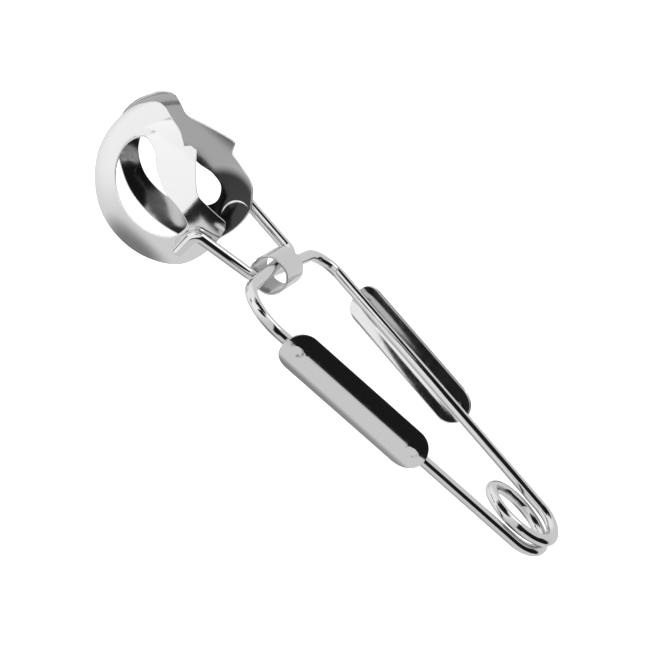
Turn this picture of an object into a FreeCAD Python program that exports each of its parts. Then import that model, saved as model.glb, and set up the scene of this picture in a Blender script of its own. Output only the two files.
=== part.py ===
"""Spring loaded snail tongs: a crossed wire spring, a collar, two grip plates and two cupped jaws.

Frame, in millimetres: the origin is on the axis of the spring coil, at the middle of its height.
+X runs from the coil to the jaws, +Y to the left arm and +Z along the coil's axis.
The tongs are drawn at rest, with the jaws closed by the spring.
"""
import FreeCAD, Part
import math
import os

Vec = FreeCAD.Vector

# wire
WIRE_DIA = 3.4
COIL_RADIUS = 10.5            # coil axis to the middle of the wire
COIL_GAP = 0.6                # between one turn and the next
ARM_ANGLE = 19.4              # each arm leans out from the long axis, degrees
ARM_SPLIT = 0.3               # between the end of the coil and the start of an arm
COLLAR_DISTANCE = 95.2        # coil axis to the crossing of the wires
CROSS_LEAN = 3.2              # each cross wire leans from the transverse axis, degrees
CROSS_GAP = 0.45              # between the two wires where they cross
CROSS_DROP = 0.8              # the crossing sits this much below the middle of the coil
LEFT_SHOULDER = 11.0          # radius of the bend from the left arm to its cross wire
RIGHT_SHOULDER = 7.5
THROAT_OFFSET = 13.0          # crossing to the corner of the bend towards the jaw
THROAT_RADIUS = 4.0
LEG_RADIUS = 2.6              # bend from the jaw arm to the welded leg
LEG_LENGTH = 7.5              # corner of that bend to the cut end

# collar
COLLAR_LENGTH = 15.6
COLLAR_SHEET = 0.6
COLLAR_GAP = 0.5              # over the upper wire
COLLAR_SLACK = 1.1            # under the lower wire
COLLAR_STRAIGHT = 1.3         # flat stretch of the oval, along X
COLLAR_SETBACK = 1.0          # collar axis behind the crossing
COLLAR_SHIFT = 0.5            # collar's middle towards the left arm
SEAM_WIDTH = 0.3

# grips
GRIP_LENGTH = 50.6
GRIP_WIDTH = 11.8
GRIP_SHEET = 0.7
GRIP_HOLLOW = 9.0             # radius of the section's inner face
GRIP_CENTRE = 53.3            # X of the middle of each grip
GRIP_SEAT = 0.1               # between the wire and the plate
SPOT_RADIUS = 1.3             # spot weld between the wire and the plate
SPOT_SPACING = 42.0

# jaws
JAW_LENGTH = 45.2             # heel to tip
JAW_HEIGHT = 34.5             # lower edge to brow
JAW_BULGE = 20.5              # middle plane to the outside of the cup
JAW_SHEET = 0.6
HEEL_REACH = 14.9             # crossing of the wires to the heel, midway between the two jaws
JAW_STAGGER = 0.9             # the left jaw sits this much nearer the collar, the right one further
JAW_RISE = 12.2               # brow above the wire plane
JAW_PARTING = 0.15            # each jaw's edge to the middle plane
DOME_RATIO = 0.593            # radius of the cup's rim over the jaw's length
DOME_ALONG = 0.425            # centre of the cup, as a share of the length from the heel
DOME_BELOW = 0.484            # the same below the brow, as a share of the height
WELD_INSET = 6.2              # heel to the welded leg
WELD_SEAT = 0.28              # between the wire and the jaw
WELD_RADIUS = 1.5
WELD_LENGTH = 6.0
LEFT_LEG_TOP = -4.0           # height of the corner above the leg that carries the left jaw
RIGHT_LEG_TOP = 0.0

# Points on a jaw are shares of its length, heel to tip, and of its height, lower edge to brow.
# The smooth edge runs from the top of the heel, underneath and round the tip, then up to each jaw's brow.
JAW_SWEEP = [(0.03, 0.68), (0.015, 0.56), (0.025, 0.40), (0.08, 0.215), (0.24, 0.065), (0.47, 0.0),
             (0.68, 0.045), (0.83, 0.165), (0.95, 0.335), (1.0, 0.54), (0.985, 0.745)]
LEFT_BROW = (0.925, 0.885)
RIGHT_BROW = (0.93, 0.91)
# The stepped edge runs from the brow back to the heel: each corner with its radius in mm.
LEFT_EDGE = [((0.865, 0.985), 7.5), ((0.64, 0.99), 6.0), ((0.55, 0.94), 0.5), ((0.525, 0.98), 0.8),
             ((0.482, 0.988), 1.0), ((0.285, 0.757), 5.0), ((0.06, 0.735), 1.0)]
RIGHT_EDGE = [((0.885, 0.99), 2.5), ((0.74, 0.83), 3.0), ((0.395, 0.968), 1.2), ((0.372, 0.862), 0.6),
              ((0.14, 0.83), 5.0)]
LEFT_WINDOW = [(0.817, 0.63), (0.79, 0.46), (0.66, 0.295), (0.50, 0.233), (0.345, 0.258), (0.215, 0.39),
               (0.205, 0.525), (0.30, 0.578), (0.44, 0.598), (0.56, 0.665), (0.665, 0.75), (0.765, 0.75)]
RIGHT_WINDOW = [(0.865, 0.54), (0.815, 0.345), (0.69, 0.218), (0.55, 0.185), (0.41, 0.22), (0.285, 0.34),
                (0.237, 0.475), (0.28, 0.575), (0.37, 0.598), (0.49, 0.57), (0.62, 0.595), (0.74, 0.67),
                (0.835, 0.665)]

# derived
WIRE_R = WIRE_DIA / 2
PITCH = WIRE_DIA + COIL_GAP
COIL_TURN = 540 - 2 * ARM_ANGLE
COIL_RISE = PITCH * COIL_TURN / 360
CROSS_Z = WIRE_R + CROSS_GAP / 2
COLLAR_INNER = CROSS_Z + WIRE_R + (COLLAR_GAP + COLLAR_SLACK) / 2
COLLAR_Z = (COLLAR_GAP - COLLAR_SLACK) / 2 - CROSS_DROP
DOME_Z = JAW_RISE - DOME_BELOW * JAW_HEIGHT
DOME_RADIUS = DOME_RATIO * JAW_LENGTH
ARM = math.radians(ARM_ANGLE)
CROSS = math.radians(CROSS_LEAN)


def rounded_path(points, radii):
    """A wire of straight runs, with a tangent arc of the given radius at each inner point."""
    edges = []
    start = points[0]
    for before, corner, after, radius in zip(points, points[1:], points[2:], radii):
        back = (before - corner).normalize()
        ahead = (after - corner).normalize()
        half = back.getAngle(ahead) / 2
        reach = radius / math.tan(half)
        middle = (back + ahead).normalize()
        centre = corner + middle * (radius / math.sin(half))
        first = corner + back * reach
        last = corner + ahead * reach
        edges.append(Part.LineSegment(start, first).toShape())
        edges.append(Part.Arc(first, centre - middle * radius, last).toShape())
        start = last
    edges.append(Part.LineSegment(start, points[-1]).toShape())
    return Part.Wire(edges)


def round_wire(path, start, direction):
    """A round wire of the stock diameter along the path."""
    profile = Part.Wire(Part.makeCircle(WIRE_R, start, direction))
    return path.makePipeShell([profile], True, False)


def coil():
    helix = Part.makeHelix(PITCH, COIL_RISE, COIL_RADIUS)
    slope = PITCH / (2 * math.pi * COIL_RADIUS)
    profile = Part.Wire(Part.makeCircle(WIRE_R, Vec(COIL_RADIUS, 0, 0), Vec(0, 1, slope)))
    turns = helix.makePipeShell([profile], True, True)
    turns.rotate(Vec(0, 0, 0), Vec(0, 0, 1), 90 + ARM_ANGLE)
    turns.translate(Vec(0, 0, -COIL_RISE / 2))
    return turns


def cross_z(side):
    """Height of a cross wire: the left handle's one lies over the other."""
    return side * CROSS_Z - CROSS_DROP


def arm_line(side):
    """The point where an arm leaves the coil and the corner of its shoulder."""
    tangent = Vec(-COIL_RADIUS * math.sin(ARM), side * COIL_RADIUS * math.cos(ARM), -side * COIL_RISE / 2)
    # the arm meets the cross wire's line, which leans back by CROSS from the crossing
    along = (COLLAR_DISTANCE - tangent.x - abs(tangent.y) * math.tan(CROSS)) / (
        math.cos(ARM) + math.sin(ARM) * math.tan(CROSS))
    corner = Vec(tangent.x + along * math.cos(ARM), tangent.y + side * along * math.sin(ARM), cross_z(side))
    return tangent, corner


def heel_x(side):
    """X of the heel of the jaw on the side of +Y or -Y."""
    return COLLAR_DISTANCE + HEEL_REACH - side * JAW_STAGGER


def dome_x(side):
    return heel_x(side) + DOME_ALONG * JAW_LENGTH


def dome_y(from_centre, z):
    """Distance of the cup's outer face from the middle plane, from_centre along X from its centre."""
    share = (from_centre ** 2 + (z - DOME_Z) ** 2) / DOME_RADIUS ** 2
    return JAW_BULGE * math.sqrt(1 - share)


def leg_middle(side, leg_top):
    """A point on a welded leg's axis, half way down: it clears the cup by the weld seat."""
    x = heel_x(side) + WELD_INSET
    z = leg_top - LEG_LENGTH / 2
    return Vec(x, side * (dome_y(x - dome_x(side), z) + WIRE_R + WELD_SEAT), z)


def arm_wire(side, shoulder_radius, leg_top):
    """One arm with its cross wire, jaw arm and welded leg. side is +1 for the left handle."""
    tangent, shoulder = arm_line(side)
    start = tangent + (shoulder - tangent).normalize() * ARM_SPLIT
    throat = Vec(COLLAR_DISTANCE + THROAT_OFFSET * math.tan(CROSS), -side * THROAT_OFFSET, cross_z(side))
    middle = leg_middle(-side, leg_top)
    half_leg = Vec(0, 0, LEG_LENGTH / 2)
    path = rounded_path([start, shoulder, throat, middle + half_leg, middle - half_leg],
                        [shoulder_radius, THROAT_RADIUS, LEG_RADIUS])
    return round_wire(path, start, shoulder - start)


def oval_prism(radius, length):
    """An oval bar along Y, centred on the collar's axis."""
    half = COLLAR_STRAIGHT / 2
    y = COLLAR_SHIFT - length / 2
    runs = [
        Part.LineSegment(Vec(-half, y, radius), Vec(half, y, radius)).toShape(),
        Part.Arc(Vec(half, y, radius), Vec(half + radius, y, 0), Vec(half, y, -radius)).toShape(),
        Part.LineSegment(Vec(half, y, -radius), Vec(-half, y, -radius)).toShape(),
        Part.Arc(Vec(-half, y, -radius), Vec(-half - radius, y, 0), Vec(-half, y, radius)).toShape(),
    ]
    bar = Part.Face(Part.Wire(runs)).extrude(Vec(0, length, 0))
    bar.translate(Vec(COLLAR_DISTANCE - COLLAR_SETBACK, 0, COLLAR_Z))
    return bar


def collar():
    """A rolled strip with an open butt seam on its head side."""
    outer = COLLAR_INNER + COLLAR_SHEET
    tube = oval_prism(outer, COLLAR_LENGTH).cut(oval_prism(COLLAR_INNER, COLLAR_LENGTH))
    seam = Part.makeBox(outer + COLLAR_STRAIGHT, COLLAR_LENGTH, SEAM_WIDTH,
                        Vec(COLLAR_DISTANCE, COLLAR_SHIFT - COLLAR_LENGTH / 2, COLLAR_Z - SEAM_WIDTH / 2))
    return tube.cut(seam)


def grip_placement(side):
    """Local X along the arm, local Y out of the handle, at the middle of the grip."""
    tangent, shoulder = arm_line(side)
    along = (shoulder - tangent).normalize()
    out = Vec(-math.sin(ARM), side * math.cos(ARM), 0)
    up = along.cross(out)
    middle = tangent + along * ((GRIP_CENTRE - tangent.x) / along.x)
    matrix = FreeCAD.Matrix(along.x, out.x, up.x, middle.x, along.y, out.y, up.y, middle.y,
                            along.z, out.z, up.z, middle.z, 0, 0, 0, 1)
    return FreeCAD.Placement(matrix)


def grip_shell():
    """The grip plate in its own frame: a shallow trough with round ends."""
    axis_y = WIRE_R + GRIP_SEAT - GRIP_HOLLOW
    base = Vec(-GRIP_LENGTH / 2, axis_y, 0)
    outer = Part.makeCylinder(GRIP_HOLLOW + GRIP_SHEET, GRIP_LENGTH, base, Vec(1, 0, 0))
    inner = Part.makeCylinder(GRIP_HOLLOW, GRIP_LENGTH, base, Vec(1, 0, 0))
    radius = GRIP_WIDTH / 2
    half = GRIP_LENGTH / 2 - radius
    outline = [
        Part.LineSegment(Vec(-half, 0, radius), Vec(half, 0, radius)).toShape(),
        Part.Arc(Vec(half, 0, radius), Vec(half + radius, 0, 0), Vec(half, 0, -radius)).toShape(),
        Part.LineSegment(Vec(half, 0, -radius), Vec(-half, 0, -radius)).toShape(),
        Part.Arc(Vec(-half, 0, -radius), Vec(-half - radius, 0, 0), Vec(-half, 0, radius)).toShape(),
    ]
    face = Part.Face(Part.Wire(outline))
    face.translate(Vec(0, axis_y, 0))
    blank = face.extrude(Vec(0, 2 * GRIP_HOLLOW, 0))
    return outer.cut(inner).common(blank)


def grip_welds():
    """Two spot welds between the wire and the plate, in the plate's own frame."""
    shell = grip_shell()
    wire = Part.makeCylinder(WIRE_R, GRIP_LENGTH, Vec(-GRIP_LENGTH / 2, 0, 0), Vec(1, 0, 0))
    spots = []
    for along in (-SPOT_SPACING / 2, SPOT_SPACING / 2):
        reach = WIRE_R + GRIP_SEAT + GRIP_SHEET / 2
        spot = Part.makeCylinder(SPOT_RADIUS, reach, Vec(along, 0, 0), Vec(0, 1, 0))
        spots.append(spot.cut(wire).cut(shell))
    return spots


def jaw_point(side, share):
    along, up = share
    return Vec(heel_x(side) + along * JAW_LENGTH, 0, JAW_RISE - (1 - up) * JAW_HEIGHT)


def cup(side, bulge, radius):
    """Half of a flattened ball, round the centre of the cup on the given side."""
    centre = Vec(dome_x(side), 0, DOME_Z)
    pole = Vec(centre.x, side * bulge, centre.z)
    rim = Vec(centre.x + radius, 0, centre.z)
    quarter = Part.ArcOfEllipse(Part.Ellipse(rim, pole, centre), 0, math.pi / 2).toShape()
    profile = Part.Wire([Part.LineSegment(centre, rim).toShape(), quarter,
                         Part.LineSegment(pole, centre).toShape()])
    return Part.Face(profile).revolve(centre, Vec(0, side, 0), 360)


def jaw(side, brow, edge, window):
    """One stamped jaw, cut out of the cup by its outline and its window."""
    shell = cup(side, JAW_BULGE, DOME_RADIUS).cut(cup(side, JAW_BULGE - JAW_SHEET, DOME_RADIUS - JAW_SHEET))
    sweep = Part.BSplineCurve()
    sweep.interpolate([jaw_point(side, share) for share in [*JAW_SWEEP, brow]])
    shares = [brow, *[share for share, radius in edge], JAW_SWEEP[0]]
    stepped = rounded_path([jaw_point(side, share) for share in shares], [radius for share, radius in edge])
    opening = Part.BSplineCurve()
    opening.interpolate([jaw_point(side, share) for share in window], PeriodicFlag=True)
    outline = Part.Face(Part.Wire([sweep.toShape(), *stepped.Edges]))
    hole = Part.Face(Part.Wire([opening.toShape()]))
    reach = Vec(0, side * (JAW_BULGE + JAW_SHEET), 0)
    blank = outline.extrude(reach).cut(hole.extrude(reach))
    blank = blank.cut(outline.extrude(Vec(0, side * JAW_PARTING, 0)))
    return largest(shell.common(blank))


def jaw_weld(side, plate, wire, leg_top):
    """The bead between a welded leg and its jaw."""
    middle = leg_middle(side, leg_top)
    base = middle - Vec(0, side * WIRE_R, WELD_LENGTH / 2)
    return largest(Part.makeCylinder(WELD_RADIUS, WELD_LENGTH, base, Vec(0, 0, 1)).cut(plate).cut(wire))


def largest(shape):
    """The main solid, without slivers."""
    return max(shape.Solids, key=lambda solid: solid.Volume)


def tongs():
    left_arm = arm_wire(1, LEFT_SHOULDER, RIGHT_LEG_TOP)
    right_arm = arm_wire(-1, RIGHT_SHOULDER, LEFT_LEG_TOP)
    left_jaw = jaw(1, LEFT_BROW, LEFT_EDGE, LEFT_WINDOW)
    right_jaw = jaw(-1, RIGHT_BROW, RIGHT_EDGE, RIGHT_WINDOW)
    nodes = {
        "spring_coil": coil(),
        "left_arm_wire": left_arm,
        "right_arm_wire": right_arm,
        "collar": collar(),
        "left_jaw": left_jaw,
        "right_jaw": right_jaw,
        "left_jaw_weld": jaw_weld(1, left_jaw, right_arm, LEFT_LEG_TOP),
        "right_jaw_weld": jaw_weld(-1, right_jaw, left_arm, RIGHT_LEG_TOP),
    }
    for name, side in (("left", 1), ("right", -1)):
        nodes[name + "_grip"] = largest(grip_shell())
        nodes[name + "_grip_welds"] = Part.makeCompound(grip_welds())
        for node in (name + "_grip", name + "_grip_welds"):
            nodes[node].Placement = grip_placement(side)
    return nodes


os.makedirs("parts", exist_ok=True)
for node, shape in tongs().items():
    shape.exportStep("parts/" + node + ".step")
    print(node, "solids", len(shape.Solids), "volume", round(shape.Volume, 1), "valid", shape.isValid())
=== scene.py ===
"""Looks for the spring loaded snail tongs: polished steel wire, stamped jaws and grips, on a white table."""

import math

import bmesh
import bpy
from mathutils import Matrix, Vector
from mathutils.geometry import delaunay_2d_cdt


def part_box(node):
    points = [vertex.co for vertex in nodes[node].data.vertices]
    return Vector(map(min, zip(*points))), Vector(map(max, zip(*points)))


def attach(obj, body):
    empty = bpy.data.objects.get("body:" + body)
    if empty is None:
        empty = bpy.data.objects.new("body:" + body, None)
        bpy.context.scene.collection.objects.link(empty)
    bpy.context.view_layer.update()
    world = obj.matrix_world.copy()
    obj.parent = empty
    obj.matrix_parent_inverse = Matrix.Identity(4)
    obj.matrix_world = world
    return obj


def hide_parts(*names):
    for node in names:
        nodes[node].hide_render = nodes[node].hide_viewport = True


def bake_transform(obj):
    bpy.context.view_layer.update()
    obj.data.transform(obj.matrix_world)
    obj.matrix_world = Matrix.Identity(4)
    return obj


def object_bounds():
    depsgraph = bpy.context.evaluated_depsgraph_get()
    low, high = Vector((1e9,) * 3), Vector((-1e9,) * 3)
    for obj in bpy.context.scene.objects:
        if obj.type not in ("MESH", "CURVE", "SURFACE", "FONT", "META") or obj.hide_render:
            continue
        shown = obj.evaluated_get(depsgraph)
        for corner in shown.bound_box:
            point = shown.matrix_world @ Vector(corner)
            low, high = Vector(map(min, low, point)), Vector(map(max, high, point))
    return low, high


MM = 0.001
SIDES = {"left": 1, "right": -1}

# Sizes in millimetres, in the frame's axes: +X to the jaws, +Y to the left arm, +Z along the coil's axis.
WIRE_R = 1.7
ARM = math.radians(19.4)
CROSS_LEAN = math.tan(math.radians(3.2))
COLLAR_DISTANCE = 95.2
CROSS_Z = 1.925
CROSS_DROP = 0.8
THROAT_OFFSET = 13.0
THROAT_RADIUS = 4.0
LEG_RADIUS = 2.6
LEG_LENGTH = 7.5
ARM_SPLIT = 0.3
SHOULDER = {1: 11.0, -1: 7.5}     # radius of each arm's shoulder
LEG_TOP = {1: 0.0, -1: -4.0}      # height of the top of the leg on each arm
WIRE_CHAMFER = 0.25
COIL_EASING = 12.0            # length over which the coil takes up the arm's slope
COIL_STEPS = 84

GRIP_LENGTH = 50.6
GRIP_WIDTH = 11.8
GRIP_SHEET = 0.7
GRIP_OUTER = 9.7              # radius of the section's outer face
GRIP_CENTRE = 53.3
GRIP_SEAT = 0.1
SPOT_SPACING = 42.0
SPOT_STRETCH = 1.15
SPOT_DENT = (0.16, 1.15)      # depth and radius of a spot weld's mark
SPOT_LIP = (0.05, 2.0, 0.6)   # height, radius and width of the lip round it
SPOT_INSIDE = 0.4             # how much of the mark shows on the inner face

JAW_LENGTH = 45.2
JAW_HEIGHT = 34.5
JAW_BULGE = 20.5
JAW_SHEET = 0.6
HEEL_REACH = 14.9
JAW_STAGGER = 0.9
JAW_RISE = 12.2
DOME_RADIUS = 0.593 * JAW_LENGTH
DOME_ALONG = 0.425
DOME_Z = JAW_RISE - 0.484 * JAW_HEIGHT
WELD_INSET = 6.2
WELD_SEAT = 0.28
PRINT_OFFSET = 0.4            # the weld's print inside the jaw: offset, half width, half height and depth
PRINT_HALF_WIDTH = 1.7
PRINT_HALF_HEIGHT = 3.4
PRINT_DEPTH = 0.15

COLLAR_LENGTH = 15.6
COLLAR_SHEET = 0.6
COLLAR_STRAIGHT = 1.3
COLLAR_SHIFT = 0.5
COLLAR_X = COLLAR_DISTANCE - 1.0
COLLAR_Z = -1.1
COLLAR_OUTER = 5.025
COLLAR_CORNER = 0.7
SEAM = 0.3
SEAM_CURL = 0.22              # how far the edges of the seam turn in
SEAM_CURL_LENGTH = 1.6

# Jaw outlines as shares of its length from the heel and of its height from the lower edge. EDGE adds the
# radius of each corner.
JAW_SWEEP = [(0.03, 0.68), (0.015, 0.56), (0.025, 0.40), (0.08, 0.215), (0.24, 0.065), (0.47, 0.0),
             (0.68, 0.045), (0.83, 0.165), (0.95, 0.335), (1.0, 0.54), (0.985, 0.745)]
BROW = {1: (0.925, 0.885), -1: (0.93, 0.91)}
EDGE = {
    1: [((0.865, 0.985), 7.5), ((0.64, 0.99), 6.0), ((0.55, 0.94), 0.5), ((0.525, 0.98), 0.8),
        ((0.482, 0.988), 1.0), ((0.285, 0.757), 5.0), ((0.06, 0.735), 1.0)],
    -1: [((0.885, 0.99), 2.5), ((0.74, 0.83), 3.0), ((0.395, 0.968), 1.2), ((0.372, 0.862), 0.6),
         ((0.14, 0.83), 5.0)],
}
WINDOW = {
    1: [(0.817, 0.63), (0.79, 0.46), (0.66, 0.295), (0.50, 0.233), (0.345, 0.258), (0.215, 0.39),
        (0.205, 0.525), (0.30, 0.578), (0.44, 0.598), (0.56, 0.665), (0.665, 0.75), (0.765, 0.75)],
    -1: [(0.865, 0.54), (0.815, 0.345), (0.69, 0.218), (0.55, 0.185), (0.41, 0.22), (0.285, 0.34),
         (0.237, 0.475), (0.28, 0.575), (0.37, 0.598), (0.49, 0.57), (0.62, 0.595), (0.74, 0.67),
         (0.835, 0.665)],
}

# Mesh detail, in millimetres where it is a length.
EDGE_ROUND = 0.22             # radius on the cut edges of the sheets
RIM_STEPS = 3
TUBE_SIDES = 40
BEND_STEP = 0.35
STRAIGHT_STEP = 3.0
CURVE_STEPS = 12
CORNER_STEP = 0.25
JAW_EDGE_STEP = 0.7
JAW_SPACING = 0.9
GRIP_EDGE_STEP = 0.6
GRIP_SPACING = 0.8
COLLAR_CORNER_STEP = 0.2
COLLAR_EDGE_STEP = 0.5
COLLAR_SPACING = 0.6
ROW_PITCH = 0.87              # of the spacing, for rows of even triangles
EDGE_CLEARANCE = 0.6          # of the spacing, kept free beside the edges
NUDGE = 0.02                  # step for measuring a sheet's slope
MERGE_WITHIN = 1e-6           # points of a flat sheet closer than this are one
GRAIN_RADIUS = 2              # the grain goes round a wire on a circle of this size
CHAMFER_STEP = (0.3, 0.6)     # share of the chamfer and lean of the normals half way down it

# The steel, with distances in millimetres on the sheet.
EVEN_WEAR = 0.5               # share of the edge tint on steel with no welding tint and painted shade
INNER_FROM, INNER_TO = 0.1, 0.4     # depths in the sheet between which the outer colour turns to the inner face's painted shade
PAINTED_SHADE_NEAR, PAINTED_SHADE_FAR, PAINTED_SHADE_LEVEL = 10.2, 13.6, 0.10      # painted shade with a welding tint round the weld: dark within, clean beyond, brightness within
HIGHLIGHT_OUTSIDE = ((1.3, -5.2), 5.85, 6.05)    # a painted highlight: a crescent outside this circle and within the next
HIGHLIGHT_WITHIN = ((2.3, -4.75), 5.3, 5.5)
CLOUD_SCALE, CLOUD_DETAIL, CLOUD_ROUGHNESS = 0.35, 5.0, 0.6
CLOUD_LOW, CLOUD_HIGH = 0.3, 0.7
LINE_DETAIL = 4.0
PIT_SCALE, PIT_CORE, PIT_RIM, PIT_WEIGHT = 0.45, 0.02, 0.07, 0.5
RIM_ROUGHNESS = 0.18

# The world in the steel. A patch is azimuth from +Y towards +X, elevation, full within and gone beyond,
# in degrees.
TABLE_LEVEL = 0.76
PANEL = (80, 10, 35, 80)
PANEL_GAIN = 0.30
UNDERSIDE = (-10, -84, 8, 30)
UNDERSIDE_SHADE = 0.7
DARK_PATCHES = [(52, 34, 22, 28), (88, 62, 14, 22), (-22, -8, 7, 12)]
DARK_LEVEL = 0.012
# The dark wedge runs from the tail round to +Y. An edge is a direction, and the cosines from it at which
# the wedge starts and is full.
WEDGE_ABOVE_TABLE = ((-0.158, -0.02, 0.987), -0.025, 0.035)
WEDGE_BELOW_LIGHTS = ((0.35, 0.1, -0.93), -0.94, -0.88)
WEDGE_SIDES = ((-102, 0.05), (-30, 0.1))      # azimuth in the middle of the half it keeps, and softness

# Cards out of the picture: brightness, Y and (X, Z) corners in millimetres.
CARDS = {
    "jaw_card": (1.05, 60.0, [(109, -34), (165, -34), (165, -4), (240, -4), (240, 60), (160, 60),
                              (160, 36), (109, 36)]),
    "brow_card": (1.0, 36.0, [(129, 20), (260, 20), (260, 110), (129, 110)]),
    "dark_card": (0.0, 60.0, [(166, -50), (320, -50), (320, -5), (166, -5)]),
}
CARD_COLOUR = 0.02
PAPER_COLOUR = 0.9
PAPER_GLOW = 1.0
PAPER_ROUGHNESS = 0.9
FLOOR_SIZE = 3.0
FLOOR_DROP = 0.0002
LAMP_SIZE = 0.3
LAMP_POWER = 0.33
LAMP_HEIGHT = 0.7

AZIMUTH = math.radians(183.01)
ELEVATION = math.radians(18.92)
ROLL = math.radians(45.02)
TARGET_X = COLLAR_DISTANCE - 1.09
CAMERA_DISTANCE = 715.6
FRAME_SHIFT = (-11.68, 15.04)
LENS = 145.4
SENSOR_WIDTH = 36.0
CLIP_START = 0.01


# ---------------------------------------------------------------- lines

def rounded(points, radii, step):
    """Straight runs with a tangent arc at each inner point, sampled finely on the arcs."""
    line = [points[0].copy()]
    for before, corner, after, radius in zip(points, points[1:], points[2:], radii):
        back = (before - corner).normalized()
        ahead = (after - corner).normalized()
        half = back.angle(ahead) / 2
        centre = corner + (back + ahead).normalized() * (radius / math.sin(half))
        first = corner + back * (radius / math.tan(half)) - centre
        last = corner + ahead * (radius / math.tan(half)) - centre
        turn = math.pi - 2 * half
        count = max(3, math.ceil(turn * radius / step))
        for i in range(count + 1):
            share = i / count
            swung = first * math.sin((1 - share) * turn) + last * math.sin(share * turn)
            line.append(centre + swung / math.sin(turn))
    line.append(points[-1].copy())
    return line


def spread(line, step, closed=False):
    """The same line with points added so that none are further apart than step."""
    out = []
    ends = line[1:] + line[:1] if closed else line[1:]
    for a, b in zip(line, ends):
        count = max(1, math.ceil((b - a).length / step))
        out += [a.lerp(b, i / count) for i in range(count)]
    if not closed:
        out.append(line[-1])
    return out


def smooth(points, closed):
    """A smooth line through the points: cubic spans with the slope of the two neighbours at each."""
    count = len(points)

    def slope(i):
        """The line's direction at a point, per unit of length."""
        if not closed and i in (0, count - 1):
            start = min(i, count - 2)
            return (points[start + 1] - points[start]).normalized()
        before, here, after = points[i - 1], points[i], points[(i + 1) % count]
        back, ahead = (here - before).length, (after - here).length
        return ((here - before) / back * ahead + (after - here) / ahead * back) / (back + ahead)

    out = []
    for i in range(count if closed else count - 1):
        j = (i + 1) % count
        length = (points[j] - points[i]).length
        start, end = slope(i) * length, slope(j) * length
        for k in range(CURVE_STEPS):
            t = k / CURVE_STEPS
            out.append(points[i] * (2 * t ** 3 - 3 * t ** 2 + 1) + start * (t ** 3 - 2 * t ** 2 + t)
                       + points[j] * (3 * t ** 2 - 2 * t ** 3) + end * (t ** 3 - t ** 2))
    if not closed:
        out.append(points[-1])
    return out


# ---------------------------------------------------------------- meshes

def add_mesh(name, vertices, faces, normals, grain, rim, material):
    """A mesh object in metres, with its own normals, a grain coordinate and a mark on cut edges."""
    mesh = bpy.data.meshes.new(name)
    mesh.from_pydata([v * MM for v in vertices], [], faces)
    work = bmesh.new()
    work.from_mesh(mesh)
    bmesh.ops.recalc_face_normals(work, faces=work.faces)
    work.to_mesh(mesh)
    work.free()
    mesh.shade_smooth()
    along = mesh.attributes.new("grain", "FLOAT_VECTOR", "POINT")
    along.data.foreach_set("vector", [c for g in grain for c in g])
    cut = mesh.attributes.new("rim", "FLOAT", "POINT")
    cut.data.foreach_set("value", rim)
    mesh.normals_split_custom_set_from_vertices(normals)
    mesh.materials.append(material)
    return add_object(name, mesh)


def add_object(name, data):
    """An object for the data, in the scene."""
    made = bpy.data.objects.new(name, data)
    bpy.context.scene.collection.objects.link(made)
    return made


def tube(name, line, material, chamfer=0.0):
    """A round wire along the line, closed with flat ends, the far one chamfered if asked."""
    runs = [(b - a).normalized() for a, b in zip(line, line[1:])]
    tangents = [runs[0]] + [(a + b).normalized() for a, b in zip(runs, runs[1:])] + [runs[-1]]
    out = tangents[0].orthogonal().normalized()
    vertices, normals, grain, rim, faces = [], [], [], [], []
    travelled = 0.0
    rings = [(point, tangent, WIRE_R, 0.0) for point, tangent in zip(line, tangents)]
    if chamfer:
        point, tangent, radius, _ = rings.pop()
        share, lean = CHAMFER_STEP
        rings.append((point - tangent * chamfer, tangent, radius, 0.0))
        rings.append((point - tangent * chamfer * share, tangent, radius - chamfer * share, lean))
        rings.append((point, tangent, radius - chamfer, 1.0))
    previous = rings[0][0]
    for point, tangent, radius, cut in rings:
        travelled += (point - previous).length
        previous = point
        out = (out - tangent * out.dot(tangent)).normalized()
        side = tangent.cross(out)
        for k in range(TUBE_SIDES):
            turn = 2 * math.pi * k / TUBE_SIDES
            normal = out * math.cos(turn) + side * math.sin(turn)
            vertices.append(point + normal * radius)
            normals.append((normal + tangent * cut).normalized())
            grain.append((math.cos(turn) * GRAIN_RADIUS, math.sin(turn) * GRAIN_RADIUS, travelled))
            rim.append(cut)
    for ring in range(len(rings) - 1):
        base = ring * TUBE_SIDES
        for k in range(TUBE_SIDES):
            after = (k + 1) % TUBE_SIDES
            faces.append((base + k, base + after, base + TUBE_SIDES + after, base + TUBE_SIDES + k))
    for ring, sign in ((0, -1), (len(rings) - 1, 1)):
        tangent = rings[ring][1]
        base = len(vertices)
        for k in range(TUBE_SIDES):
            vertices.append(vertices[ring * TUBE_SIDES + k].copy())
            normals.append(tangent * sign)
            grain.append((0.0, 0.0, travelled))
            rim.append(1.0)
        faces.append(tuple(range(base, base + TUBE_SIDES)))
    return add_mesh(name, vertices, faces, normals, grain, rim, material)


def inside(point, loop):
    """True if the point is within the closed loop."""
    found = False
    for a, b in zip(loop, loop[1:] + loop[:1]):
        if (a.y > point.y) != (b.y > point.y):
            if point.x < a.x + (b.x - a.x) * (point.y - a.y) / (b.y - a.y):
                found = not found
    return found


def inward(loop, material_inside):
    """Unit vectors at each point of a loop, towards the sheet."""
    area = sum(a.x * b.y - b.x * a.y for a, b in zip(loop, loop[1:] + loop[:1]))
    sign = (1 if area > 0 else -1) * (1 if material_inside else -1)
    result = []
    for before, after in zip(loop[-1:] + loop[:-1], loop[1:] + loop[:1]):
        run = (after - before).normalized()
        result.append(Vector((-run.y, run.x)) * sign)
    return result


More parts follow.
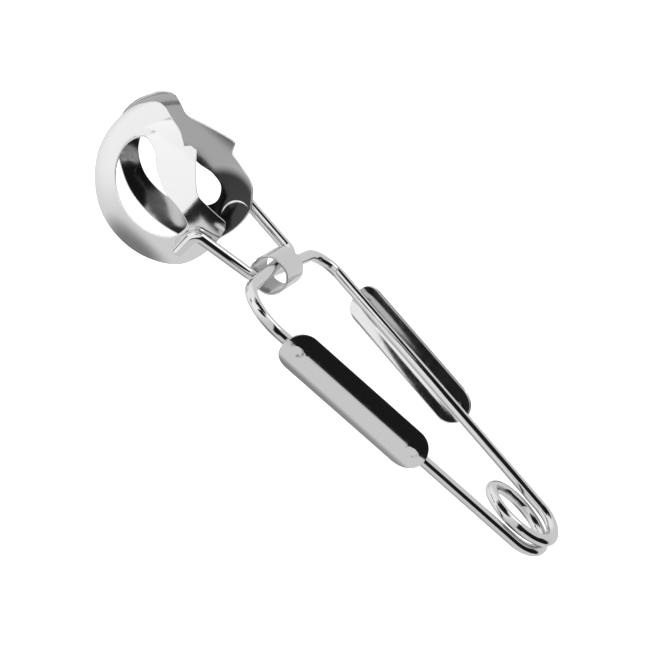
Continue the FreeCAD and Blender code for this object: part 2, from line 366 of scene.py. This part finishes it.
def flat_sheet(loops, spacing):
    """Even triangles over a flat sheet, inside the first loop and outside the others."""
    flat, links, inset = [], [], []
    for loop, normals in loops:
        base = len(flat)
        inset.append([p + n * EDGE_ROUND for p, n in zip(loop, normals)])
        flat += inset[-1]
        links += [(base + i, base + (i + 1) % len(loop)) for i in range(len(loop))]

    def within(point):
        """True if the point is on the sheet."""
        return inside(point, inset[0]) and not any(inside(point, hole) for hole in inset[1:])

    border = list(flat)
    outline = loops[0][0]
    low = Vector((min(p.x for p in outline), min(p.y for p in outline)))
    high = Vector((max(p.x for p in outline), max(p.y for p in outline)))
    rise = spacing * ROW_PITCH
    for row in range(math.ceil((high.y - low.y) / rise)):
        for column in range(math.ceil((high.x - low.x) / spacing) + 1):
            shift = 0.5 if row % 2 else 0.0
            point = Vector((low.x + (column + shift) * spacing, low.y + row * spacing * ROW_PITCH))
            nearest = min((point - other).length_squared for other in border)
            if within(point) and nearest > (EDGE_CLEARANCE * spacing) ** 2:
                flat.append(point)
    made, _, triangles, _, _, _ = delaunay_2d_cdt(flat, links, [], 0, MERGE_WITHIN)
    kept = [tuple(t) for t in triangles if within((made[t[0]] + made[t[1]] + made[t[2]]) / 3)]
    return made, kept


def plate(name, outline, holes, place, sheet, spacing, material):
    """A sheet cut to the outline, with holes and rounded edges, bent by place(u, v, depth)."""
    loops = [(outline, inward(outline, True))] + [(hole, inward(hole, False)) for hole in holes]
    made, kept = flat_sheet(loops, spacing)

    def facing(u, v, depth):
        """The outward normal of the bent sheet."""
        across = place(u + NUDGE, v, depth) - place(u - NUDGE, v, depth)
        up = place(u, v + NUDGE, depth) - place(u, v - NUDGE, depth)
        normal = across.cross(up).normalized()
        away = place(u, v, depth) - place(u, v, depth + NUDGE)
        return normal if normal.dot(away) > 0 else -normal

    vertices, normals, grain, rim = [], [], [], []
    for depth, sign in ((0.0, 1), (sheet, -1)):
        for p in made:
            vertices.append(place(p.x, p.y, depth))
            normals.append(facing(p.x, p.y, depth) * sign)
            grain.append((p.x, p.y, depth))
            rim.append(0.0)
    back = len(made)
    faces = kept + [tuple(back + i for i in reversed(t)) for t in kept]
    steps = [math.pi / 2 * i / RIM_STEPS for i in range(1, RIM_STEPS + 1)]
    profile = [(EDGE_ROUND * (1 - math.sin(a)), EDGE_ROUND * (1 - math.cos(a)), a) for a in steps]
    profile += [(off, sheet - depth, math.pi - a) for off, depth, a in reversed(profile)]
    start = 0
    for loop, normals_2d in loops:
        count = len(loop)
        columns = [[start + i for i in range(count)]]
        for off, depth, angle in profile:
            column = []
            for p, n in zip(loop, normals_2d):
                spot = p + n * off
                here = place(spot.x, spot.y, depth)
                away = (here - place(spot.x + n.x, spot.y + n.y, depth)).normalized()
                outward = facing(spot.x, spot.y, depth)
                column.append(len(vertices))
                vertices.append(here)
                normals.append((outward * math.cos(angle) + away * math.sin(angle)).normalized())
                grain.append((spot.x, spot.y, depth))
                rim.append(1.0)
            columns.append(column)
        columns.append([back + start + i for i in range(count)])
        for here, there in zip(columns, columns[1:]):
            for i in range(count):
                j = (i + 1) % count
                faces.append((here[i], here[j], there[j], there[i]))
        start += count
    return add_mesh(name, vertices, faces, normals, grain, rim, material)


# ---------------------------------------------------------------- materials

def node(tree, kind, **values):
    """A new shader node with these settings."""
    made = tree.nodes.new(kind)
    for key, value in values.items():
        setattr(made, key, value)
    return made


def maths(tree, operation, *values):
    """A math node fed with numbers or sockets."""
    made = node(tree, "ShaderNodeMath", operation=operation)
    for socket, value in zip(made.inputs, values):
        if isinstance(value, (int, float)):
            socket.default_value = value
        else:
            tree.links.new(value, socket)
    return made.outputs["Value"]


def ranged(tree, value, low, high, to_low=0.0, to_high=1.0, curve="LINEAR"):
    """Maps low..high to to_low..to_high, held at the ends."""
    made = node(tree, "ShaderNodeMapRange", interpolation_type=curve)
    numbers = {"From Min": low, "From Max": high, "To Min": to_low, "To Max": to_high}
    for key, number in numbers.items():
        made.inputs[key].default_value = number
    tree.links.new(value, made.inputs["Value"])
    return made.outputs["Result"]


def noise(tree, vector, **values):
    """A noise texture, read at the vector."""
    made = node(tree, "ShaderNodeTexNoise")
    for key, value in values.items():
        made.inputs[key].default_value = value
    tree.links.new(vector, made.inputs["Vector"])
    return made.outputs["Fac"]


def away_from(tree, vector, centre, near, far, at_near, at_far):
    """Goes from one value to another between two distances from a point of the sheet."""
    flat = node(tree, "ShaderNodeVectorMath", operation="MULTIPLY")
    flat.inputs[1].default_value = (1, 1, 0)
    tree.links.new(vector, flat.inputs[0])
    spot = node(tree, "ShaderNodeVectorMath", operation="DISTANCE")
    spot.inputs[1].default_value = (*centre, 0)
    tree.links.new(flat.outputs["Vector"], spot.inputs[0])
    return ranged(tree, spot.outputs["Value"], near, far, at_near, at_far, "SMOOTHSTEP")


def inner_shade_and_highlight(tree, vector, buried, shade, heat_and_shade_centre):
    """Painted shade inside a jaw, darkest round the tint of its weld, and a painted crescent highlight."""
    # Painted shade: the inner face is darkened round the weld, a welding tint made as dark as shade.
    heat_tint_and_shade = away_from(tree, vector, heat_and_shade_centre, PAINTED_SHADE_NEAR, PAINTED_SHADE_FAR, PAINTED_SHADE_LEVEL, 1.0)
    faced = node(tree, "ShaderNodeMix")
    faced.inputs["A"].default_value = 1.0
    tree.links.new(buried, faced.inputs["Factor"])
    tree.links.new(maths(tree, "MULTIPLY", shade, heat_tint_and_shade), faced.inputs["B"])
    # Painted highlight: a thin crescent of the light edge colour on the jaw's inner face.
    painted_glint = maths(tree, "MULTIPLY", away_from(tree, vector, *HIGHLIGHT_OUTSIDE, 0.0, 1.0),
                 away_from(tree, vector, *HIGHLIGHT_WITHIN, 1.0, 0.0))
    return faced.outputs["Result"], maths(tree, "MULTIPLY", painted_glint, buried)


def steel(name, tint, rough, grain_scale, line_depth, mottle, edge_tint_and_highlight, inner=1.0, heat_and_shade_centre=None):
    """Polished steel: fine lines along the grain, faint cloudiness, small pits and brushed cut edges.

    line_depth is in metres; inner is the brightness of a sheet's inner face, painted shade in cups and tubes;
    edge_tint_and_highlight colours the cut edges, and on the jaws is a painted highlight;
    heat_and_shade_centre is the middle of the welding tint inside a jaw, painted dark there as shade.
    """
    material = bpy.data.materials.new(name)
    material.use_nodes = True
    tree = material.node_tree
    shader = tree.nodes["Principled BSDF"]
    shader.inputs["Metallic"].default_value = 1.0
    grain = node(tree, "ShaderNodeAttribute", attribute_name="grain").outputs["Vector"]
    rim = node(tree, "ShaderNodeAttribute", attribute_name="rim").outputs["Fac"]

    stretch = node(tree, "ShaderNodeMapping")
    stretch.inputs["Scale"].default_value = grain_scale
    tree.links.new(grain, stretch.inputs["Vector"])
    lines = noise(tree, stretch.outputs["Vector"], Scale=1.0, Detail=LINE_DETAIL)
    cloud = noise(tree, grain, Scale=CLOUD_SCALE, Detail=CLOUD_DETAIL, Roughness=CLOUD_ROUGHNESS)
    pits = node(tree, "ShaderNodeTexVoronoi")
    pits.inputs["Scale"].default_value = PIT_SCALE
    tree.links.new(grain, pits.inputs["Vector"])
    pit = ranged(tree, pits.outputs["Distance"], PIT_CORE, PIT_RIM)

    colour = node(tree, "ShaderNodeMix", data_type="RGBA")
    colour.inputs["A"].default_value = (*[c * (1 - mottle) for c in tint], 1)
    colour.inputs["B"].default_value = (*tint, 1)
    tree.links.new(cloud, colour.inputs["Factor"])
    depth = node(tree, "ShaderNodeSeparateXYZ")
    tree.links.new(grain, depth.inputs["Vector"])
    # The inner face is darker: painted shade inside cups and tubes.
    buried = ranged(tree, depth.outputs["Z"], INNER_FROM, INNER_TO)
    shade = ranged(tree, depth.outputs["Z"], INNER_FROM, INNER_TO, 1.0, inner)
    # marks is an even edge tint on most steel; on the jaws it is the painted crescent highlight.
    marks = EVEN_WEAR
    if heat_and_shade_centre:
        shade, marks = inner_shade_and_highlight(tree, grain, buried, shade, heat_and_shade_centre)
    shaded_colour = node(tree, "ShaderNodeVectorMath", operation="SCALE")
    tree.links.new(colour.outputs["Result"], shaded_colour.inputs[0])
    tree.links.new(shade, shaded_colour.inputs["Scale"])
    # The cut edges take the edge tint; on the jaws it is lighter, a painted highlight.
    edge = node(tree, "ShaderNodeMix", data_type="RGBA")
    edge.inputs["B"].default_value = (*edge_tint_and_highlight, 1)
    tree.links.new(maths(tree, "MAXIMUM", rim, marks), edge.inputs["Factor"])
    tree.links.new(shaded_colour.outputs["Vector"], edge.inputs["A"])
    tree.links.new(edge.outputs["Result"], shader.inputs["Base Color"])

    shine = ranged(tree, cloud, CLOUD_LOW, CLOUD_HIGH, *rough)
    tree.links.new(maths(tree, "MULTIPLY_ADD", rim, RIM_ROUGHNESS, shine), shader.inputs["Roughness"])

    bump = node(tree, "ShaderNodeBump")
    bump.inputs["Strength"].default_value = 1.0
    bump.inputs["Distance"].default_value = line_depth
    tree.links.new(maths(tree, "MULTIPLY_ADD", pit, PIT_WEIGHT, lines), bump.inputs["Height"])
    tree.links.new(bump.outputs["Normal"], shader.inputs["Normal"])
    return material


def plain(name, colour, brightness):
    """The material of the paper and the cards: an even colour that also glows."""
    material = bpy.data.materials.new(name)
    material.use_nodes = True
    shader = material.node_tree.nodes["Principled BSDF"]
    shader.inputs["Base Color"].default_value = (colour, colour, colour, 1)
    shader.inputs["Emission Color"].default_value = (1, 1, 1, 1)
    shader.inputs["Emission Strength"].default_value = brightness
    return material


# ---------------------------------------------------------------- the wire

def cross_z(side):
    """Height of an arm's wire where the two cross."""
    return side * CROSS_Z - CROSS_DROP


def heel_x(side):
    """Place of a jaw's heel, from which its length is measured."""
    return COLLAR_DISTANCE + HEEL_REACH - side * JAW_STAGGER


def dome_x(side):
    """Place of the middle of a jaw's dome."""
    return heel_x(side) + DOME_ALONG * JAW_LENGTH


def dome_y(dx, dz):
    """How far the dome stands out at this distance from its middle."""
    return JAW_BULGE * math.sqrt(max(0.0, 1 - (dx * dx + dz * dz) / DOME_RADIUS ** 2))


def arm_line(side):
    """The point where an arm leaves the coil and the corner of its shoulder."""
    tangent = Vector((-COIL_RADIUS * math.sin(ARM), side * COIL_RADIUS * math.cos(ARM),
                      -side * COIL_RISE / 2))
    along = (COLLAR_DISTANCE - tangent.x - abs(tangent.y) * CROSS_LEAN) / (
        math.cos(ARM) + math.sin(ARM) * CROSS_LEAN)
    corner = Vector((tangent.x + along * math.cos(ARM), tangent.y + side * along * math.sin(ARM),
                     cross_z(side)))
    return tangent, corner


def leg_middle(side):
    """Half way down the welded leg on the given side's jaw; the other side's arm carries it."""
    x = heel_x(side) + WELD_INSET
    z = LEG_TOP[-side] - LEG_LENGTH / 2
    return Vector((x, side * (dome_y(x - dome_x(side), z - DOME_Z) + WIRE_R + WELD_SEAT), z))


def arm_path(side):
    """The middle of an arm's wire, from its split at the coil to the end of its leg."""
    tangent, shoulder = arm_line(side)
    start = tangent + (shoulder - tangent).normalized() * ARM_SPLIT
    throat = Vector((COLLAR_DISTANCE + THROAT_OFFSET * CROSS_LEAN, -side * THROAT_OFFSET, cross_z(side)))
    middle = leg_middle(-side)
    half_leg = Vector((0, 0, LEG_LENGTH / 2))
    points = [start, shoulder, throat, middle + half_leg, middle - half_leg]
    return spread(rounded(points, [SHOULDER[side], THROAT_RADIUS, LEG_RADIUS], BEND_STEP), STRAIGHT_STEP)


def half_coil(side):
    """The turns from one arm to the head side of the coil, eased into the arm's slope."""
    tangent, shoulder = arm_line(side)
    out = (shoulder - tangent).normalized()
    first = math.pi / 2 + ARM
    turn = math.pi * 3 / 2 - ARM
    arm_slope = -side * out.z / math.hypot(out.x, out.y)
    coil_slope = COIL_RISE / (2 * turn * COIL_RADIUS)
    line = [tangent + out * ARM_SPLIT]
    for i in range(COIL_STEPS + 1):
        angle = first + turn * i / COIL_STEPS
        run = COIL_RADIUS * turn * i / COIL_STEPS
        rise = coil_slope * run
        if run < COIL_EASING:
            rise -= (coil_slope - arm_slope) * run * (1 - run / COIL_EASING) ** 2
        line.append(Vector((COIL_RADIUS * math.cos(angle), side * COIL_RADIUS * math.sin(angle),
                            side * (rise - COIL_RISE / 2))))
    return line


# ---------------------------------------------------------------- the sheets

def stadium(length, width, step):
    """A flat outline with straight sides and half-round ends."""
    radius = width / 2
    half = length / 2 - radius
    loop = []
    for end in (1, -1):
        count = math.ceil(math.pi * radius / step)
        for i in range(count + 1):
            angle = -math.pi / 2 + math.pi * i / count
            loop.append(Vector((end * (half + radius * math.cos(angle)), end * radius * math.sin(angle))))
    return spread(loop, step, closed=True)


def spot_mark(u, v):
    """Depth of the two spot welds' marks at a point of a grip."""
    dent_depth, dent_radius = SPOT_DENT
    lip_height, lip_radius, lip_width = SPOT_LIP
    mark = 0.0
    for spot in (-SPOT_SPACING / 2, SPOT_SPACING / 2):
        away = math.hypot(u - spot, v * SPOT_STRETCH)
        mark += dent_depth * math.exp(-(away / dent_radius) ** 2)
        mark -= lip_height * math.exp(-((away - lip_radius) / lip_width) ** 2)
    return mark


def grip_place(side):
    """Maps (along, across, depth) of a grip to the frame, with the two spot weld marks pressed in."""
    tangent, shoulder = arm_line(side)
    along = (shoulder - tangent).normalized()
    out = Vector((-math.sin(ARM), side * math.cos(ARM), 0))
    up = along.cross(out)
    middle = tangent + along * ((GRIP_CENTRE - tangent.x) / along.x)
    axis = WIRE_R + GRIP_SEAT + GRIP_SHEET - GRIP_OUTER
    angle_per_mm = math.asin(GRIP_WIDTH / 2 / GRIP_OUTER) / (GRIP_WIDTH / 2)

    def place(u, v, depth):
        """The point of the bent sheet."""
        radius = GRIP_OUTER - depth - spot_mark(u, v) * (1 if depth < GRIP_SHEET / 2 else SPOT_INSIDE)
        angle = v * angle_per_mm
        return middle + along * u + out * (axis + radius * math.cos(angle)) + up * (radius * math.sin(angle))
    return place


def jaw_flat(share):
    """The point of the flat jaw at these shares of its length and height."""
    along, up = share
    return Vector((along * JAW_LENGTH, JAW_RISE - (1 - up) * JAW_HEIGHT))


def jaw_outline(side):
    """The sweep round the belly of a jaw and its stamped upper edge, as one loop."""
    sweep = smooth([jaw_flat(share) for share in [*JAW_SWEEP, BROW[side]]], False)
    corners = [BROW[side], *[share for share, radius in EDGE[side]], JAW_SWEEP[0]]
    points = [jaw_flat(share).to_3d() for share in corners]
    stepped = rounded(points, [radius for share, radius in EDGE[side]], CORNER_STEP)
    loop = sweep + [p.to_2d() for p in stepped[1:-1]]
    return spread(loop, JAW_EDGE_STEP, closed=True)


def jaw_place(side):
    """Maps (along, height, depth) of a jaw to its cup, with the mark that the weld leaves inside."""
    origin = heel_x(side)
    centre = DOME_ALONG * JAW_LENGTH
    weld = leg_middle(side)

    def place(u, v, depth):
        """The point of the bent sheet."""
        dx, dz = u - centre, v - DOME_Z
        y = dome_y(dx, dz)
        normal = Vector((dx / DOME_RADIUS ** 2, y / JAW_BULGE ** 2, dz / DOME_RADIUS ** 2)).normalized()
        across = (u - (weld.x - origin) - PRINT_OFFSET) / PRINT_HALF_WIDTH
        down = (v - weld.z) / PRINT_HALF_HEIGHT
        pressed = PRINT_DEPTH * math.exp(-(across ** 2 + down ** 2) ** 2) * (depth / JAW_SHEET)
        spot = Vector((origin + u, y, v)) - normal * (depth + pressed)
        return Vector((spot.x, side * spot.y, spot.z))
    return place


COLLAR_ARC = math.pi * COLLAR_OUTER
COLLAR_GIRTH = 2 * COLLAR_ARC + 2 * COLLAR_STRAIGHT


def collar_place(u, v, depth):
    """Maps (round the oval, along Y, depth) to the collar; u is 0 at the tail side, away from the seam."""
    run = abs(u)
    curl = max(0.0, run - (COLLAR_GIRTH / 2 - SEAM / 2 - SEAM_CURL_LENGTH)) / SEAM_CURL_LENGTH
    radius = COLLAR_OUTER - depth - SEAM_CURL * curl ** 2
    sign = 1 if u >= 0 else -1
    half = COLLAR_STRAIGHT / 2
    if run < COLLAR_ARC / 2:
        angle = math.pi - run / COLLAR_OUTER
        x, z = -half + radius * math.cos(angle), radius * math.sin(angle)
    elif run < COLLAR_ARC / 2 + COLLAR_STRAIGHT:
        x, z = -half + (run - COLLAR_ARC / 2), radius
    else:
        angle = math.pi / 2 - (run - COLLAR_ARC / 2 - COLLAR_STRAIGHT) / COLLAR_OUTER
        x, z = half + radius * math.cos(angle), radius * math.sin(angle)
    return Vector((COLLAR_X + x, COLLAR_SHIFT + v, COLLAR_Z + sign * z))


def collar_outline():
    """The collar's strip laid flat, with rounded corners."""
    half_u, half_v = COLLAR_GIRTH / 2 - SEAM / 2, COLLAR_LENGTH / 2
    corners = [Vector((half_u, -half_v, 0)), Vector((half_u, half_v, 0)),
               Vector((-half_u, half_v, 0)), Vector((-half_u, -half_v, 0))]
    start = Vector((0, -half_v, 0))
    line = rounded([start, *corners, start], [COLLAR_CORNER] * len(corners), COLLAR_CORNER_STEP)
    return spread([p.to_2d() for p in line[:-1]], COLLAR_EDGE_STEP, closed=True)


# ---------------------------------------------------------------- build

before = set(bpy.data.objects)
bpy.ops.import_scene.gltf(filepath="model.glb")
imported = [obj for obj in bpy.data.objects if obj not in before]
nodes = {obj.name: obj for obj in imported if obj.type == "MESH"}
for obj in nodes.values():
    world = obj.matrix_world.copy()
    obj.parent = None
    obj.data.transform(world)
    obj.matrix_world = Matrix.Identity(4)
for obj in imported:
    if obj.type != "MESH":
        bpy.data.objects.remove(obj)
cad_low, cad_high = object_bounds()

coil_low, coil_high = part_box("spring_coil")
COIL_RADIUS = (coil_high.x - coil_low.x) / 2 / MM - WIRE_R
COIL_RISE = (coil_high.z - coil_low.z) / MM - 2 * WIRE_R

wire_steel = steel("wire_steel", tint=(0.83, 0.83, 0.83), rough=(0.05, 0.10), grain_scale=(9, 9, 0.12),
                   line_depth=0.000004, mottle=0.05, edge_tint_and_highlight=(0.62, 0.62, 0.62))
# The jaws carry painted light: lighter edges and a crescent as highlights, inner face and weld as shade.
sheet_steel = steel("jaw_steel", tint=(0.82, 0.82, 0.825), rough=(0.08, 0.15), grain_scale=(3.5, 0.25, 1),
                    line_depth=0.0000015, mottle=0.05, edge_tint_and_highlight=(0.9, 0.9, 0.9), inner=0.6, heat_and_shade_centre=(7.0, -6.5))
grip_steel = steel("grip_steel", tint=(0.82, 0.82, 0.82), rough=(0.08, 0.14), grain_scale=(0.2, 4.0, 1),
                   line_depth=0.0000003, mottle=0.05, edge_tint_and_highlight=(0.7, 0.7, 0.7))
# inner=0.35 is painted shade inside the collar's tube.
collar_steel = steel("collar_steel", tint=(0.80, 0.80, 0.80), rough=(0.07, 0.14), grain_scale=(4.0, 0.2, 1),
                     line_depth=0.000002, mottle=0.08, edge_tint_and_highlight=(0.6, 0.6, 0.6), inner=0.35)
weld_steel = steel("weld_steel", tint=(0.55, 0.54, 0.52), rough=(0.22, 0.40), grain_scale=(2, 2, 2),
                   line_depth=0.00002, mottle=0.25, edge_tint_and_highlight=(0.5, 0.48, 0.45))

for name, side in SIDES.items():
    other = "right" if side > 0 else "left"
    body = name + "_arm"
    arm = tube(name + "_arm_rod", arm_path(side), wire_steel, WIRE_CHAMFER)
    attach(arm, body)
    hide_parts(name + "_arm_wire")

    coil = tube(name + "_coil_turns", half_coil(side), wire_steel)
    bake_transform(coil)

    grip = plate(name + "_grip_plate", stadium(GRIP_LENGTH, GRIP_WIDTH, GRIP_EDGE_STEP), [],
                 grip_place(side), GRIP_SHEET, GRIP_SPACING, grip_steel)
    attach(grip, body)
    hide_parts(name + "_grip")

    window = smooth([jaw_flat(share) for share in WINDOW[side]], True)
    cup = plate(name + "_jaw_cup", jaw_outline(side), [window], jaw_place(side), JAW_SHEET, JAW_SPACING,
                sheet_steel)
    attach(cup, other + "_arm")
    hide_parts(name + "_jaw")

    for weld in (name + "_jaw_weld", name + "_grip_welds"):
        nodes[weld].data.materials.clear()
        nodes[weld].data.materials.append(weld_steel)

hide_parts("spring_coil")

ring = plate("collar_strip", collar_outline(), [], collar_place, COLLAR_SHEET, COLLAR_SPACING, collar_steel)
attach(ring, "collar_ring")
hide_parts("collar")


# ---------------------------------------------------------------- stage, light and camera

def white_floor():
    """White paper under the tongs; the steel mirrors the studio instead of it."""
    mesh = bpy.data.meshes.new("floor")
    reach = FLOOR_SIZE / 2
    z = cad_low.z - FLOOR_DROP
    mesh.from_pydata([(-reach, -reach, z), (reach, -reach, z), (reach, reach, z), (-reach, reach, z)],
                     [], [(0, 1, 2, 3)])
    paper = plain("white_paper", PAPER_COLOUR, PAPER_GLOW)
    paper.node_tree.nodes["Principled BSDF"].inputs["Roughness"].default_value = PAPER_ROUGHNESS
    mesh.materials.append(paper)
    floor = add_object("floor", mesh)
    floor.visible_glossy = False


def surroundings():
    """The world the steel mirrors: pale table, bright panel beyond the jaws, dark wedge and patches."""
    world = bpy.data.worlds.new("studio")
    world.use_nodes = True
    tree = world.node_tree
    background = tree.nodes["Background"]
    coordinate = node(tree, "ShaderNodeTexCoord")

    def heading(azimuth, elevation):
        """The direction that many degrees from +Y towards +X and above the table."""
        turn, lift = math.radians(azimuth), math.radians(elevation)
        return Vector((math.sin(turn) * math.cos(lift), math.cos(turn) * math.cos(lift), math.sin(lift)))

    def ramp(direction, low, high):
        """Rises from 0 to 1 as the cosine between the view and the direction goes from low to high."""
        dot = node(tree, "ShaderNodeVectorMath", operation="DOT_PRODUCT")
        dot.inputs[1].default_value = direction
        tree.links.new(coordinate.outputs["Generated"], dot.inputs[0])
        return ranged(tree, dot.outputs["Value"], low, high, curve="SMOOTHSTEP")

    def patch(azimuth, elevation, inner, outer):
        """A round patch, full inside the first angle and gone at the second, in degrees."""
        return ramp(heading(azimuth, elevation), math.cos(math.radians(outer)), math.cos(math.radians(inner)))

    def without(a, b):
        """The first with the second taken away."""
        return maths(tree, "MULTIPLY", a, maths(tree, "SUBTRACT", 1.0, b))

    level = maths(tree, "MULTIPLY_ADD", patch(*PANEL), PANEL_GAIN, TABLE_LEVEL)
    level = without(level, maths(tree, "MULTIPLY", patch(*UNDERSIDE), UNDERSIDE_SHADE))
    dark = maths(tree, "MULTIPLY", ramp(*WEDGE_ABOVE_TABLE), ramp(*WEDGE_BELOW_LIGHTS))
    for azimuth, soft in WEDGE_SIDES:
        dark = maths(tree, "MULTIPLY", dark, ramp(heading(azimuth, 0), -soft, soft))
    for spot in DARK_PATCHES:
        dark = maths(tree, "MAXIMUM", dark, patch(*spot))
    level = maths(tree, "MAXIMUM", without(level, dark), DARK_LEVEL)
    tree.links.new(level, background.inputs["Strength"])
    background.inputs["Color"].default_value = (1, 1, 1, 1)
    bpy.context.scene.world = world


def card(name, brightness, y, corners):
    """A card standing just out of the picture, seen only in the steel."""
    mesh = bpy.data.meshes.new(name)
    mesh.from_pydata([Vector((x, y, z)) * MM for x, z in corners], [], [tuple(range(len(corners)))])
    mesh.materials.append(plain(name, CARD_COLOUR, brightness))
    made = add_object(name, mesh)
    made.visible_camera = False
    made.visible_shadow = False


def overhead_lamp():
    """A soft square light above the grips."""
    lamp = bpy.data.lights.new("overhead", "AREA")
    lamp.shape = "SQUARE"
    lamp.size = LAMP_SIZE
    lamp.energy = LAMP_POWER
    add_object("overhead", lamp).location = (cad_high.x / 2, 0.0, LAMP_HEIGHT)


def camera():
    """A long lens looking along the tongs' side from above, rolled as in the photo."""
    back = Vector((math.sin(AZIMUTH) * math.cos(ELEVATION), -math.cos(AZIMUTH) * math.cos(ELEVATION),
                   math.sin(ELEVATION)))
    right = Vector((math.cos(AZIMUTH), math.sin(AZIMUTH), 0))
    up = back.cross(right)
    rolled_right = right * math.cos(ROLL) + up * math.sin(ROLL)
    rolled_up = up * math.cos(ROLL) - right * math.sin(ROLL)
    shift = rolled_right * FRAME_SHIFT[0] + rolled_up * FRAME_SHIFT[1]
    stand = Vector((TARGET_X, 0, 0)) + back * CAMERA_DISTANCE - shift
    data = bpy.data.cameras.new("camera")
    data.lens = LENS
    data.sensor_width = SENSOR_WIDTH
    data.clip_start = CLIP_START
    made = add_object("camera", data)
    turn = Matrix((rolled_right, rolled_up, back)).transposed().to_4x4()
    made.matrix_world = Matrix.Translation(stand * MM) @ turn
    bpy.context.scene.camera = made


white_floor()
surroundings()
for name, (brightness, y, corners) in CARDS.items():
    card(name, brightness, y, corners)
overhead_lamp()
camera()
bpy.context.scene.view_settings.view_transform = "Standard"
